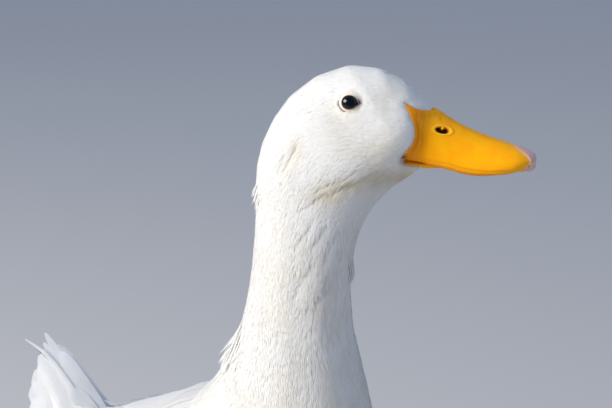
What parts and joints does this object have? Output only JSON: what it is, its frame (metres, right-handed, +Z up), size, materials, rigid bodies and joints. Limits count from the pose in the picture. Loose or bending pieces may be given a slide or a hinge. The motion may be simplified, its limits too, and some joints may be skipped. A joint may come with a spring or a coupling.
{
  "type": "domestic duck model",
  "caption": "Life-size white domestic duck standing still on both feet, head turned to its left, with an orange bill, folded wings and webbed feet.",
  "frame": {"origin": "on the floor, under the middle of the duck's box", "axes": "+Z up; the trunk faces -Y, so the duck's own left is +X; the head is turned towards +X"},
  "size_m": [0.2092, 0.4204, 0.482],
  "materials": {
    "plumage": "soft white feathers, matt",
    "bill": "smooth waxy bill skin, satin",
    "nail": "pale horn, satin",
    "shank": "scaly skin, satin",
    "claw": "pale horn, satin",
    "eye": "wet, mirror-smooth"
  },
  "bodies": {
    "root": {"head": "plumage", "neck": "plumage", "trunk": "plumage", "tail": "plumage", "bill_upper": "bill", "bill_lower": "bill", "bill_nail": "nail", "eye_left": "eye", "wing_left": "plumage", "thigh_left": "plumage", "leg_left": "shank", "foot_left": "shank", "claw_left_inner": "claw", "claw_left_middle": "claw", "claw_left_outer": "claw", "claw_left_hind": "claw", "eye_right": "eye", "wing_right": "plumage", "thigh_right": "plumage", "leg_right": "shank", "foot_right": "shank", "claw_right_inner": "claw", "claw_right_middle": "claw", "claw_right_outer": "claw", "claw_right_hind": "claw"}
  },
  "joints": []
}
